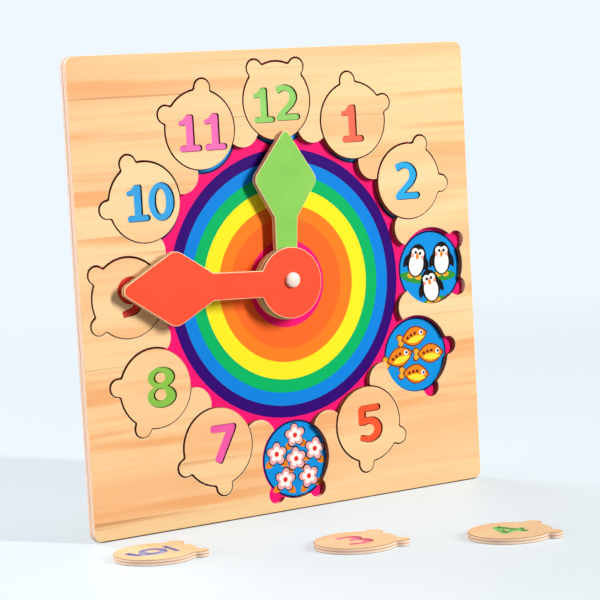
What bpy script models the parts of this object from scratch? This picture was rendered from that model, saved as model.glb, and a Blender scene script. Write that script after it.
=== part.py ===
# Wooden clock puzzle: a square plywood board with twelve pockets round a dial,
# twelve eared number pieces and two wooden hands on one pin.
# Metres, +Z up, the face of the board towards -Y. The origin is in the middle
# of the edge that the front frame stands on.
from math import acos, asin, atan2, ceil, cos, pi, radians, sin

import bmesh
import bpy

OBJECT_NAME = "wooden_clock_puzzle"

# Board, from the front: frame, printed sheet, backing board
FRAME_THICKNESS = 0.0038
SHEET_THICKNESS = 0.0003
BACK_THICKNESS = 0.0022
LAYER_GAP = 0.0003
CORNER_RADIUS = 0.006
RIM_WIDTH = 0.0075
FINGER_NECK = 0.00856

# Number pieces: a round head with two ears
PIECE_THICKNESS = 0.0038
HEAD_RADIUS = 0.0252
EAR_RADIUS = 0.0056
EAR_REACH = 0.0266
EAR_SPREAD = radians(36.5)
EAR_ROOT_SHARE = 1.10
EAR_WAIST_SHARE = 0.99
ENGRAVING_DEPTH = 0.001
CUT_OVERRUN = 0.0005

# Pockets: a piece grown by the saw cut, open towards the dial
SAW_CUT = 0.0007
MOUTH_HALF_ANGLE = radians(36.8)

# Hands, pin and what carries them
HAND_THICKNESS = 0.0038
HUB_RADIUS = 0.0231
RUNNING_GAP = 0.0003
SPACER_RADIUS = 0.015
SPACER_PROUD = 0.0005
PIN_RADIUS = 0.003
PIN_HEAD_RADIUS = 0.0049
PIN_RIM_HEIGHT = 0.0015
PIN_DOME_HEIGHT = 0.0017
CAP_RADIUS = 0.0055
CAP_THICKNESS = 0.0025
CAP_FLOOR = 0.0007
PIN_LEFT = 0.0012
PIN_UP = 0.0012

# Hour hand, measured from the centre of its hub
HOUR_CLOCK_ANGLE = radians(2.8)
HOUR_HUB_SIDE = -0.001
HOUR_HUB_ALONG = -0.0027
HOUR_ROOT_WIDTH = 0.016
HOUR_NECK_WIDTH = 0.0172
HOUR_NECK_REACH = 0.0428
HOUR_HEAD_WIDTH = 0.0486
HOUR_HEAD_REACH = 0.0674
HOUR_APEX_REACH = 0.1005
HOUR_TIP_RADIUS = 0.003
HOUR_HEAD_RADIUS = 0.006

# Minute hand, measured in the same way
MINUTE_CLOCK_ANGLE = radians(272.5)
MINUTE_HUB_SIDE = -0.0019
MINUTE_HUB_ALONG = 0.0004
MINUTE_ROOT_WIDTH = 0.0171
MINUTE_NECK_WIDTH = 0.0176
MINUTE_NECK_REACH = 0.0581
MINUTE_HEAD_WIDTH = 0.0496
MINUTE_HEAD_REACH = 0.0854
MINUTE_APEX_REACH = 0.1262
MINUTE_TIP_RADIUS = 0.0045
MINUTE_HEAD_RADIUS = 0.0085

# Small fillets where a hand's arm meets its hub and its arrow
ARM_FILLET = 0.0012

# Fineness of curves
ARC_STEP = radians(7.5)
EAR_ARC_STEP = radians(22.5)
TURNED_STEPS = 32
DOME_STEPS = 6
PEN_STEPS = 4
PEN_CORNER_STEPS = 3
STEP_SLACK = 0.001
MERGE_DISTANCE = 0.00001

# Sizes that follow from the ones above
POCKETS = 12
CLOCK_STEP = 2 * pi / POCKETS
POCKET_RADIUS = HEAD_RADIUS + SAW_CUT
DIAL_RADIUS = (POCKET_RADIUS + FINGER_NECK / 2) / sin(CLOCK_STEP / 2)
WINDOW_RADIUS = DIAL_RADIUS - HEAD_RADIUS
BOARD_SIZE = 2 * (DIAL_RADIUS + POCKET_RADIUS + RIM_WIDTH)
PIN_HOLE_RADIUS = PIN_RADIUS + RUNNING_GAP

# Where a seated piece has come to rest inside the play of its pocket, to the
# right and up, as shares of the saw cut
SEAT_SHARES = {
    12: (0.0, -0.43),
    1: (0.14, -0.14),
    2: (0.43, -0.28),
    5: (0.43, 0.0),
    7: (0.52, 0.0),
    8: (0.39, -0.39),
    9: (0.14, -0.52),
    10: (0.28, -0.43),
    11: (0.28, -0.28),
}

# Pieces that lie on the table: right and forward of the middle of the board's
# face as shares of the board, then the turn seen from above
TABLE_SHARES = {
    3: (-0.138, 0.422),
    4: (0.129, 0.576),
    6: (-0.476, 0.211),
}
TABLE_TURNS = {
    3: radians(-5),
    4: radians(14),
    6: radians(88),
}

# Digits, drawn by a pen. A stroke is the roundness of its ends, as a share of
# half the pen, and the points of its middle line: right, up, width of the pen.
# A ring is its outer oval and its hole: middle right, up, half width, half
# height. All are shares of the digit's height, from the digit's middle.
STROKE_SHARES = {
    "0": (),
    "1": (
        (0.55, ((0.0, -0.38, 0.262), (0.0, 0.427, 0.262))),
        (1.0, ((-0.260, -0.408, 0.184), (0.260, -0.408, 0.184))),
        (1.0, ((-0.285, 0.270, 0.137), (-0.190, 0.288, 0.162), (-0.120, 0.318, 0.215),
               (-0.050, 0.350, 0.285))),
    ),
    "2": (
        (0.45, ((-0.302, 0.350, 0.212), (-0.085, 0.410, 0.184), (0.116, 0.340, 0.208),
                (0.203, 0.165, 0.266), (0.137, -0.022, 0.226), (-0.045, -0.186, 0.200),
                (-0.262, -0.366, 0.200))),
        (1.0, ((-0.304, -0.406, 0.188), (0.304, -0.406, 0.188))),
    ),
    "3": (
        (0.45, ((-0.262, 0.372, 0.185), (-0.06, 0.410, 0.180), (0.135, 0.335, 0.225),
                (0.168, 0.205, 0.250), (0.085, 0.085, 0.215), (-0.080, 0.045, 0.165))),
        (0.45, ((-0.080, 0.045, 0.165), (0.100, 0.010, 0.210), (0.212, -0.115, 0.255),
                (0.208, -0.265, 0.260), (0.070, -0.388, 0.215), (-0.105, -0.410, 0.180),
                (-0.300, -0.362, 0.180))),
    ),
    "4": (
        (0.5, ((0.130, -0.44, 0.235), (0.130, 0.40, 0.235))),
        (0.8, ((0.070, 0.38, 0.190), (-0.285, -0.165, 0.190))),
        (1.0, ((-0.300, -0.195, 0.172), (0.320, -0.195, 0.172))),
    ),
    "5": (
        (1.0, ((-0.268, 0.399, 0.184), (0.245, 0.408, 0.184))),
        (0.5, ((-0.258, 0.374, 0.246), (-0.258, 0.030, 0.246))),
        (0.45, ((-0.234, 0.057, 0.211), (-0.039, 0.084, 0.195), (0.142, 0.028, 0.246),
                (0.238, -0.131, 0.273), (0.168, -0.306, 0.254), (-0.047, -0.402, 0.191),
                (-0.312, -0.347, 0.165))),
    ),
    "7": (
        (0.55, ((0.236, 0.366, 0.253), (-0.176, -0.402, 0.253))),
        (0.8, ((-0.312, 0.401, 0.198), (0.300, 0.401, 0.198))),
    ),
    "8": (),
    "9": (
        (0.45, ((0.233, 0.130, 0.240), (0.196, -0.130, 0.250), (0.066, -0.330, 0.220),
                (-0.230, -0.402, 0.160))),
    ),
    "_": (
        (1.0, ((-0.272, 0.0, 0.112), (0.272, 0.0, 0.112))),
    ),
}
RING_SHARES = {
    "0": (((0.0, 0.0, 0.389, 0.5), (-0.018, 0.006, 0.141, 0.318)),),
    "8": (
        ((0.008, 0.241, 0.382, 0.259), (-0.025, 0.239, 0.141, 0.122)),
        ((0.0, -0.218, 0.409, 0.282), (-0.039, -0.176, 0.154, 0.135)),
    ),
    "9": (((-0.012, 0.163, 0.357, 0.337), (-0.030, 0.160, 0.140, 0.170)),),
}
# A six is a nine turned half round
STROKE_SHARES["6"] = tuple(
    (end, tuple((-x, -y, width) for x, y, width in line))
    for end, line in STROKE_SHARES["9"]
)
RING_SHARES["6"] = tuple(
    tuple((-x, -y, half_width, half_height) for x, y, half_width, half_height in pair)
    for pair in RING_SHARES["9"]
)

# What each piece carries: digit, its height, its place to the right and up of
# the middle of the head, all as shares of the head's radius
NUMBER_SHARES = {
    1: (("1", 0.984, -0.014, -0.079),),
    2: (("2", 1.012, -0.054, 0.022),),
    3: (("3", 1.012, -0.020, 0.0),),
    4: (("4", 1.0, -0.02, 0.079),),
    5: (("5", 1.016, 0.067, 0.006),),
    6: (("6", 1.030, 0.0, 0.218), ("_", 1.2, 0.0, -0.420)),
    7: (("7", 1.004, 0.175, 0.050),),
    8: (("8", 1.028, 0.163, 0.010),),
    9: (("9", 1.024, 0.091, 0.024),),
    10: (("1", 0.925, -0.184, -0.006), ("0", 0.968, 0.476, -0.008)),
    11: (("1", 0.935, -0.290, -0.067), ("1", 0.935, 0.443, -0.067)),
    12: (("1", 0.901, -0.385, -0.093), ("2", 0.929, 0.325, -0.052)),
}

# Colours of the finishes, red, green and blue, and how matt each one is
WOOD = ((0.94, 0.60, 0.31), 0.55)
INSIDE_PLY = ((0.55, 0.33, 0.17), 0.7)
PRINT_PINK = ((1.0, 0.02, 0.19), 0.35)
GREEN_PAINT = ((0.27, 0.70, 0.11), 0.4)
RED_PAINT = ((1.0, 0.10, 0.04), 0.4)
PALE_PLASTIC = ((0.95, 0.84, 0.76), 0.35)


def arc(middle, radius, start, end, step):
    """Points of an arc, both ends included."""
    count = max(1, ceil(abs(end - start) / step - STEP_SLACK))
    angles = [start + (end - start) * i / count for i in range(count + 1)]
    return [(middle[0] + radius * cos(a), middle[1] + radius * sin(a)) for a in angles]


def circle(middle, radius, step=ARC_STEP):
    return arc(middle, radius, 0, 2 * pi, step)[:-1]


def oval(middle, half_width, half_height, step):
    return [(middle[0] + half_width * x, middle[1] + half_height * y)
            for x, y in circle((0, 0), 1, step)]


def turned(points, angle, middle=(0, 0)):
    """Points turned about the origin and then moved to a middle."""
    return [(middle[0] + x * cos(angle) - y * sin(angle),
             middle[1] + x * sin(angle) + y * cos(angle)) for x, y in points]


def filleted(corners, step):
    """A closed outline from corners given as x, y and fillet radius."""
    outline = []
    count = len(corners)
    for i, (x, y, radius) in enumerate(corners):
        if not radius:
            outline.append((x, y))
            continue
        before = corners[i - 1]
        after = corners[(i + 1) % count]
        back = atan2(before[1] - y, before[0] - x)
        ahead = atan2(after[1] - y, after[0] - x)
        bend = (ahead - back + pi) % (2 * pi) - pi
        half = abs(bend) / 2
        reach = radius / sin(half)
        axis = back + bend / 2
        middle = (x + reach * cos(axis), y + reach * sin(axis))
        swing = pi / 2 - half
        side = 1 if bend > 0 else -1
        face = axis + pi
        outline += arc(middle, radius, face + side * swing, face - side * swing, step)
    return outline


def ear(grown):
    """Outline of one ear along +X, from its right root to its left root."""
    radius = EAR_RADIUS + grown
    root = EAR_RADIUS * EAR_ROOT_SHARE + grown
    head = HEAD_RADIUS + grown
    root_along = head * cos(asin(root / head))
    waist_along = (root_along + EAR_REACH) / 2
    waist = radius * EAR_WAIST_SHARE
    tip = arc((EAR_REACH, 0), radius, -pi / 2, pi / 2, EAR_ARC_STEP)
    return ([(root_along, -root), (waist_along, -waist)] + tip
            + [(waist_along, waist), (root_along, root)])


def eared_arc(facing, grown, start, end):
    """The head's edge with its ears, from start to end about the facing."""
    head = HEAD_RADIUS + grown
    root_angle = asin((EAR_RADIUS * EAR_ROOT_SHARE + grown) / head)
    low = facing - EAR_SPREAD
    high = facing + EAR_SPREAD
    edge = arc((0, 0), head, facing + start, low - root_angle, ARC_STEP)[:-1]
    edge += turned(ear(grown), low)
    edge += arc((0, 0), head, low + root_angle, high - root_angle, ARC_STEP)[1:-1]
    edge += turned(ear(grown), high)
    edge += arc((0, 0), head, high + root_angle, facing + end, ARC_STEP)[1:]
    return edge


def piece_outline(facing):
    return eared_arc(facing, 0, -pi, pi)[:-1]


def dial_outline():
    """One closed edge: twelve pockets and the twelve finger ends between them."""
    mouth = pi - MOUTH_HALF_ANGLE
    pocket = [(DIAL_RADIUS + x, y) for x, y in eared_arc(0, SAW_CUT, -mouth, mouth)]
    # The end of a finger is an arc through two pocket corners and a tip that
    # lies on the circle of the window
    corner_x, corner_y = turned(pocket[-1:], -CLOCK_STEP / 2)[0]
    rise = corner_x - WINDOW_RADIUS
    end_radius = (corner_y ** 2 + rise ** 2) / (2 * rise)
    swing = acos((end_radius - rise) / end_radius)
    finger = arc((WINDOW_RADIUS + end_radius, 0), end_radius, pi + swing, pi - swing,
                 ARC_STEP * 2)[1:-1]
    outline = []
    for i in range(POCKETS):
        outline += turned(pocket, i * CLOCK_STEP)
        outline += turned(finger, (i + 0.5) * CLOCK_STEP)
    return outline


def board_outline():
    half = BOARD_SIZE / 2
    corners = [(half, -half), (half, half), (-half, half), (-half, -half)]
    return filleted([(x, y, CORNER_RADIUS) for x, y in corners], ARC_STEP * 3)


def hand_outline(hub, root_width, neck, head, apex, head_radius, tip_radius):
    """A pointer along +Y: a round hub, a straight arm and an arrow head."""
    root = root_width / 2
    root_angle = asin(root / HUB_RADIUS)
    hub_edge = arc((0, 0), HUB_RADIUS, pi / 2 + root_angle, 5 * pi / 2 - root_angle,
                   ARC_STEP)[1:-1]
    root_along = HUB_RADIUS * cos(root_angle)
    right = [(root, root_along, ARM_FILLET), (neck[0] / 2, neck[1], ARM_FILLET),
             (head[0] / 2, head[1], head_radius)]
    left = [(-x, y, radius) for x, y, radius in reversed(right)]
    corners = [(x, y, 0) for x, y in hub_edge] + right + [(0, apex, tip_radius)] + left
    return turned(filleted(corners, ARC_STEP * 2), 0, hub)


def smooth(line, steps):
    """A pen's middle line with points added along a smooth curve."""
    if len(line) < 3:
        return list(line)
    first = tuple(2 * a - b for a, b in zip(line[0], line[1]))
    last = tuple(2 * a - b for a, b in zip(line[-1], line[-2]))
    knots = [first, *line, last]
    curve = []
    for p0, p1, p2, p3 in zip(knots, knots[1:], knots[2:], knots[3:]):
        for i in range(steps):
            t = i / steps
            curve.append(tuple(
                b + t * (c - a) / 2 + t * t * (a - 2.5 * b + 2 * c - 0.5 * d)
                + t ** 3 * (1.5 * (b - c) + (d - a) / 2)
                for a, b, c, d in zip(p0, p1, p2, p3)))
    curve.append(line[-1])
    return curve


def pen_outline(line, roundness):
    """The closed edge that a pen of changing width leaves along a line."""
    line = smooth(line, PEN_STEPS)
    sides = []
    for i, (x, y, width) in enumerate(line):
        ahead = line[min(i + 1, len(line) - 1)]
        behind = line[max(i - 1, 0)]
        heading = atan2(ahead[1] - behind[1], ahead[0] - behind[0])
        sides.append((x, y, width / 2, heading))
    right = [(x + half * sin(a), y - half * cos(a)) for x, y, half, a in sides]
    left = [(x - half * sin(a), y + half * cos(a)) for x, y, half, a in sides]
    far_end = pen_end(*sides[-1], roundness)
    x, y, half, heading = sides[0]
    near_end = pen_end(x, y, half, heading + pi, roundness)
    return right[:-1] + far_end + left[-2:0:-1] + near_end[:-1]


def pen_end(x, y, half, heading, roundness):
    """The rounded end of a stroke, from its right side to its left."""
    radius = half * roundness
    straight = half - radius
    step = pi / 2 / PEN_CORNER_STEPS
    end = arc((0, -straight), radius, -pi / 2, 0, step)
    end += arc((0, straight), radius, 0, pi / 2, step)
    if not straight:
        end.pop(PEN_CORNER_STEPS)
    return turned(end, heading, (x, y))


def digit_outlines(digit):
    """Each stroke and ring of a digit as a list of closed edges, height one."""
    shapes = [[pen_outline(line, end)] for end, line in STROKE_SHARES[digit]]
    for pair in RING_SHARES.get(digit, ()):
        shapes.append([oval((x, y), half_width, half_height, ARC_STEP * 1.5)
                       for x, y, half_width, half_height in pair])
    return shapes


def collection(name):
    made = bpy.data.collections.new(name)
    bpy.context.scene.collection.children.link(made)
    return made


def material(name, finish):
    colour, roughness = finish
    made = bpy.data.materials.new(name)
    made.use_nodes = True
    shader = made.node_tree.nodes["Principled BSDF"]
    shader.inputs["Base Color"].default_value = (*colour, 1)
    shader.inputs["Roughness"].default_value = roughness
    shader.inputs["Metallic"].default_value = 0
    made.diffuse_color = (*colour, 1)
    return made


def empty(name, location, parent=None):
    made = bpy.data.objects.new(name, None)
    made.location = location
    made.parent = parent
    PARTS.objects.link(made)
    return made


def place(made, parent, location, rotation, finish):
    made.parent = parent
    made.location = location
    made.rotation_euler = rotation
    made.data.materials.append(material(made.name, finish))
    PARTS.objects.link(made)
    return made


def flat_curve(name, outlines, thickness):
    """A plate in its own XY plane, thickened both ways from it."""
    curve = bpy.data.curves.new(name, "CURVE")
    curve.dimensions = "2D"
    curve.fill_mode = "BOTH"
    curve.extrude = thickness / 2
    for outline in outlines:
        spline = curve.splines.new("POLY")
        spline.points.add(len(outline) - 1)
        for point, (x, y) in zip(spline.points, outline):
            point.co = (x, y, 0, 1)
        spline.use_cyclic_u = True
    return bpy.data.objects.new(name, curve)


def flat_mesh(name, outlines, thickness):
    """The same plate as a welded mesh, ready to be cut."""
    source = flat_curve(name + "_outline", outlines, thickness)
    PARTS.objects.link(source)
    bpy.context.view_layer.update()
    graph = bpy.context.evaluated_depsgraph_get()
    mesh = bpy.data.meshes.new_from_object(source.evaluated_get(graph))
    mesh.name = name
    work = bmesh.new()
    work.from_mesh(mesh)
    bmesh.ops.remove_doubles(work, verts=work.verts, dist=MERGE_DISTANCE)
    work.to_mesh(mesh)
    work.free()
    made = bpy.data.objects.new(name, mesh)
    made.matrix_world = source.matrix_world
    bpy.data.objects.remove(source)
    return made


def turned_solid(name, profile):
    """A profile of radius and height, turned about Z."""
    mesh = bpy.data.meshes.new(name)
    edges = [(i, i + 1) for i in range(len(profile) - 1)]
    mesh.from_pydata([(radius, 0, height) for radius, height in profile], edges, [])
    made = bpy.data.objects.new(name, mesh)
    screw = made.modifiers.new("turn", "SCREW")
    screw.steps = TURNED_STEPS
    screw.render_steps = TURNED_STEPS
    screw.use_merge_vertices = True
    screw.merge_threshold = MERGE_DISTANCE
    screw.use_smooth_shade = True
    return made


def forward(height):
    """The y of a height in front of the seat, which is the frame's back."""
    return FRAME_THICKNESS / 2 - height


def engrave(piece, number):
    """Cut the strokes of a number into the face of its piece."""
    depth = ENGRAVING_DEPTH + CUT_OVERRUN
    for place_in_number, (digit, height, right, up) in enumerate(NUMBER_SHARES[number]):
        size = height * HEAD_RADIUS
        middle = (right * HEAD_RADIUS, up * HEAD_RADIUS)
        for stroke, shape in enumerate(digit_outlines(digit)):
            outlines = [[(middle[0] + size * x, middle[1] + size * y) for x, y in edge]
                        for edge in shape]
            name = f"cut_{number}_{place_in_number}_{stroke}"
            cutter = flat_mesh(name, outlines, depth)
            cutter.parent = piece
            cutter.location = (0, 0, (PIECE_THICKNESS - ENGRAVING_DEPTH + CUT_OVERRUN) / 2)
            cutter.display_type = "WIRE"
            cutter.hide_render = True
            CUTTERS.objects.link(cutter)
            cut = piece.modifiers.new(name, "BOOLEAN")
            cut.operation = "DIFFERENCE"
            cut.solver = "EXACT"
            cut.object = cutter


for left_over in list(bpy.data.objects):
    bpy.data.objects.remove(left_over)
PARTS = collection(OBJECT_NAME)
CUTTERS = collection("cutters")

# The three layers of the board stand up facing -Y
UPRIGHT = (pi / 2, 0, 0)
dial_centre = empty("dial_centre", (0, 0, BOARD_SIZE / 2))
hand_axis = empty("hand_axis", (-PIN_LEFT, 0, PIN_UP), dial_centre)
pin_hole = circle((-PIN_LEFT, PIN_UP), PIN_HOLE_RADIUS)

front_frame = flat_curve("front_frame", [board_outline(), dial_outline()], FRAME_THICKNESS)
place(front_frame, dial_centre, (0, 0, 0), UPRIGHT, WOOD)

sheet_height = -LAYER_GAP - SHEET_THICKNESS / 2
printed_sheet = flat_curve("printed_sheet", [board_outline(), pin_hole], SHEET_THICKNESS)
place(printed_sheet, dial_centre, (0, forward(sheet_height), 0), UPRIGHT, PRINT_PINK)

back_face_height = -2 * LAYER_GAP - SHEET_THICKNESS - BACK_THICKNESS
back_board = flat_curve("back_board", [board_outline(), pin_hole], BACK_THICKNESS)
back_height = back_face_height + BACK_THICKNESS / 2
place(back_board, dial_centre, (0, forward(back_height), 0), UPRIGHT, INSIDE_PLY)

# The spacer carries the hands just clear of the pieces
spacer_thickness = max(FRAME_THICKNESS, PIECE_THICKNESS) + SPACER_PROUD
hub_spacer = flat_curve(
    "hub_spacer", [circle((0, 0), SPACER_RADIUS), circle((0, 0), PIN_HOLE_RADIUS)],
    spacer_thickness)
place(hub_spacer, hand_axis, (0, forward(spacer_thickness / 2), 0), UPRIGHT, INSIDE_PLY)

# Hands: both turn about the pin, whose hole is a little off the hub's middle
hour_height = spacer_thickness + RUNNING_GAP + HAND_THICKNESS / 2
hour_outline = hand_outline(
    (HOUR_HUB_SIDE, HOUR_HUB_ALONG), HOUR_ROOT_WIDTH, (HOUR_NECK_WIDTH, HOUR_NECK_REACH),
    (HOUR_HEAD_WIDTH, HOUR_HEAD_REACH), HOUR_APEX_REACH, HOUR_HEAD_RADIUS, HOUR_TIP_RADIUS)
hour_hand = flat_curve(
    "hour_hand", [hour_outline, circle((0, 0), PIN_HOLE_RADIUS)], HAND_THICKNESS)
place(hour_hand, hand_axis, (0, forward(hour_height), 0),
      (pi / 2, HOUR_CLOCK_ANGLE, 0), GREEN_PAINT)

minute_height = hour_height + RUNNING_GAP + HAND_THICKNESS
minute_outline = hand_outline(
    (MINUTE_HUB_SIDE, MINUTE_HUB_ALONG), MINUTE_ROOT_WIDTH,
    (MINUTE_NECK_WIDTH, MINUTE_NECK_REACH), (MINUTE_HEAD_WIDTH, MINUTE_HEAD_REACH),
    MINUTE_APEX_REACH, MINUTE_HEAD_RADIUS, MINUTE_TIP_RADIUS)
minute_hand = flat_curve(
    "minute_hand", [minute_outline, circle((0, 0), PIN_HOLE_RADIUS)], HAND_THICKNESS)
place(minute_hand, hand_axis, (0, forward(minute_height), 0),
      (pi / 2, MINUTE_CLOCK_ANGLE, 0), RED_PAINT)

# Pin: a domed head over both hands, and a tail in a cap behind the board
head_height = minute_height + HAND_THICKNESS / 2 + RUNNING_GAP
cap_top = back_face_height - LAYER_GAP
cap_bottom = cap_top - CAP_THICKNESS
tail_height = cap_bottom + CAP_FLOOR + RUNNING_GAP
dome = [(PIN_HEAD_RADIUS * sin(a), PIN_RIM_HEIGHT + PIN_DOME_HEIGHT * cos(a))
        for a in (pi / 2 * i / DOME_STEPS for i in range(DOME_STEPS + 1))]
pin_profile = [(radius, head_height + height) for radius, height in dome]
pin_profile += [(PIN_HEAD_RADIUS, head_height), (PIN_RADIUS, head_height),
                (PIN_RADIUS, tail_height), (0, tail_height)]
pivot_pin = turned_solid("pivot_pin", pin_profile)
place(pivot_pin, hand_axis, (0, forward(0), 0), UPRIGHT, PALE_PLASTIC)

cap_profile = [(0, cap_bottom + CAP_FLOOR), (PIN_HOLE_RADIUS, cap_bottom + CAP_FLOOR),
               (PIN_HOLE_RADIUS, cap_top), (CAP_RADIUS, cap_top),
               (CAP_RADIUS, cap_bottom), (0, cap_bottom)]
pin_back_cap = turned_solid("pin_back_cap", cap_profile)
place(pin_back_cap, hand_axis, (0, forward(0), 0), UPRIGHT, PALE_PLASTIC)

# Number pieces, in their pockets or flat on the table with the number up
for number in range(1, POCKETS + 1):
    clock_angle = number * CLOCK_STEP
    node = f"number_piece_{number}"
    piece = flat_mesh(node, [piece_outline(pi / 2 - clock_angle)], PIECE_THICKNESS)
    if number in SEAT_SHARES:
        right, up = SEAT_SHARES[number]
        spot = (DIAL_RADIUS * sin(clock_angle) + right * SAW_CUT,
                forward(PIECE_THICKNESS / 2),
                DIAL_RADIUS * cos(clock_angle) + up * SAW_CUT)
        place(piece, dial_centre, spot, UPRIGHT, WOOD)
    else:
        right, ahead = TABLE_SHARES[number]
        spot = (right * BOARD_SIZE, forward(FRAME_THICKNESS) - ahead * BOARD_SIZE,
                PIECE_THICKNESS / 2)
        place(piece, None, spot, (0, 0, TABLE_TURNS[number]), WOOD)
    engrave(piece, number)
    print(node, "faces -Y" if number in SEAT_SHARES else "lies on the table")

print("board", round(BOARD_SIZE, 5), "pocket ring", round(DIAL_RADIUS, 5))
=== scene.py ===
# %% [markdown]
# A wooden clock puzzle, dressed for its picture. The real toy is a square board of pine
# plywood, cut through with twelve pockets round a dial. Twelve eared number pieces fit
# the pockets, and two painted wooden hands turn on one pin. The solids come from the
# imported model, and this notebook gives them rounded edges, wood, paint and print.

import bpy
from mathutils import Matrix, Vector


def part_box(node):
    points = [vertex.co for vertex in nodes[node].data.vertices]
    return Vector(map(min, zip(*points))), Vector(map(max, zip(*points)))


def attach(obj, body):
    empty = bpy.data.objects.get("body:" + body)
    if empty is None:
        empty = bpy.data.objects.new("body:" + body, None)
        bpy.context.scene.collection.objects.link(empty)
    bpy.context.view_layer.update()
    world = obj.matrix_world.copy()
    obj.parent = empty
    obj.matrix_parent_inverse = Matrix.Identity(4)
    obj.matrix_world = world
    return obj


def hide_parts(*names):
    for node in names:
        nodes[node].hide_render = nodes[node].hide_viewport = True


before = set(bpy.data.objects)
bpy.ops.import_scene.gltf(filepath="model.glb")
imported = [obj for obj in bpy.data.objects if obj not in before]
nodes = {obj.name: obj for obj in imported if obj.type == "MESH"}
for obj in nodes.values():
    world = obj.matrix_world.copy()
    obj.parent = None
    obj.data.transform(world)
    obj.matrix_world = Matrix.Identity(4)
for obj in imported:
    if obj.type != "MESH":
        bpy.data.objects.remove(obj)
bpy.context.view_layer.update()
print("solids to dress:", len(nodes))

# %% [markdown]
# Blender counts in metres and a workshop in millimetres, so sizes on the toy are written
# as so many times MM, and only camera, lamps and table keep metres. The board is square
# and stands on z = 0, with its face towards minus y. Half its width and the two faces of
# its sheet are read from the solid, and the finishes that follow start from them.

# %% Millimetres and the board
from math import atan2, cos, degrees, pi, radians, sin

import bmesh
import bpy
from mathutils import Matrix, Vector

MM = 0.001
frame_front, frame_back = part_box("front_frame")
frame_layers = (frame_front.y, frame_back.y)
half_board = (frame_back.x - frame_front.x) / 2
print("board:", round(2 * half_board / MM, 1), "mm wide,",
      round((frame_back.y - frame_front.y) / MM, 1), "mm thick")

# %% [markdown]
# The camera stands to the left of the board and a little above its middle, far away with
# a long lens, which keeps the round dial an even oval. Blender can aim a camera with
# constraints, but the picture has a small roll to the side, so its three axes are worked
# out from where it looks and how far it is tilted.

# %% Camera
CAMERA_PLACE = Vector((-0.7648, -1.2088, 0.2674))
CAMERA_LOOKS = Vector((0.53781, 0.83816, -0.09081)).normalized()
CAMERA_ROLL = radians(-3.097)
CAMERA_SENSOR = 36
CAMERA_LENS = 132.77

level_right = CAMERA_LOOKS.cross(Vector((0, 0, 1))).normalized()
level_up = level_right.cross(CAMERA_LOOKS)
right = level_right * cos(CAMERA_ROLL) + level_up * sin(CAMERA_ROLL)
up = level_up * cos(CAMERA_ROLL) - level_right * sin(CAMERA_ROLL)
camera = bpy.data.objects.new("camera", bpy.data.cameras.new("camera"))
camera.matrix_world = Matrix.Translation(CAMERA_PLACE) @ Matrix(
    (right, up, -CAMERA_LOOKS)).transposed().to_4x4()
camera.data.sensor_width = CAMERA_SENSOR
camera.data.lens = CAMERA_LENS
bpy.context.scene.collection.objects.link(camera)
bpy.context.scene.camera = camera
print("camera lens", CAMERA_LENS, "mm at", [round(c, 3) for c in CAMERA_PLACE])

# %% [markdown]
# A few helpers are used by every finish. Colours are picked as sRGB hex values, the way a
# colour picker shows them, but shaders count in linear light, so one function turns them.
# Another adds one shader node with its settings and its links, which keeps each material
# short enough to read. A third turns a size in millimetres into the scale of a noise.

# %% Colour and node helpers
def colour(code):
    """The linear colour of an sRGB hex value."""
    parts = [int(code[i:i + 2], 16) / 255 for i in (1, 3, 5)]
    linear = [c / 12.92 if c <= 0.04045 else ((c + 0.055) / 1.055) ** 2.4 for c in parts]
    return (*linear, 1)


def add(tree, kind, links=None, values=None, stops=None, **settings):
    """Add a node. Settings are its own properties or, failing that, its inputs."""
    node = tree.nodes.new("ShaderNode" + kind)
    for key, value in settings.items():
        if hasattr(node, key):
            setattr(node, key, value)
        else:
            node.inputs[key.replace("_", " ")].default_value = value
    for key, value in (values or {}).items():
        node.inputs[key].default_value = value
    for key, source in (links or {}).items():
        tree.links.new(source, node.inputs[key])
    if stops:
        elements = node.color_ramp.elements
        while len(elements) < len(stops):
            elements.new(1)
        for element, (position, code) in zip(elements, stops):
            element.position = position
            element.color = colour(code)
    return node


def per(size):
    """The scale of a noise whose lumps are so many millimetres apart."""
    return 1 / (size * MM)


def finish(name, roughness, **shader_values):
    """A new material, with its tree and its main shader."""
    made = bpy.data.materials.new(name)
    made.use_nodes = True
    shader = made.node_tree.nodes["Principled BSDF"]
    shader.inputs["Roughness"].default_value = roughness
    for key, value in shader_values.items():
        shader.inputs[key.replace("_", " ")].default_value = value
    return made, made.node_tree, shader


def plug(tree, source, shader, socket):
    """Link the output of a node to a socket of the main shader."""
    tree.links.new(source, shader.inputs[socket])


print("white as linear light:", colour("#FFFFFF"))
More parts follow.
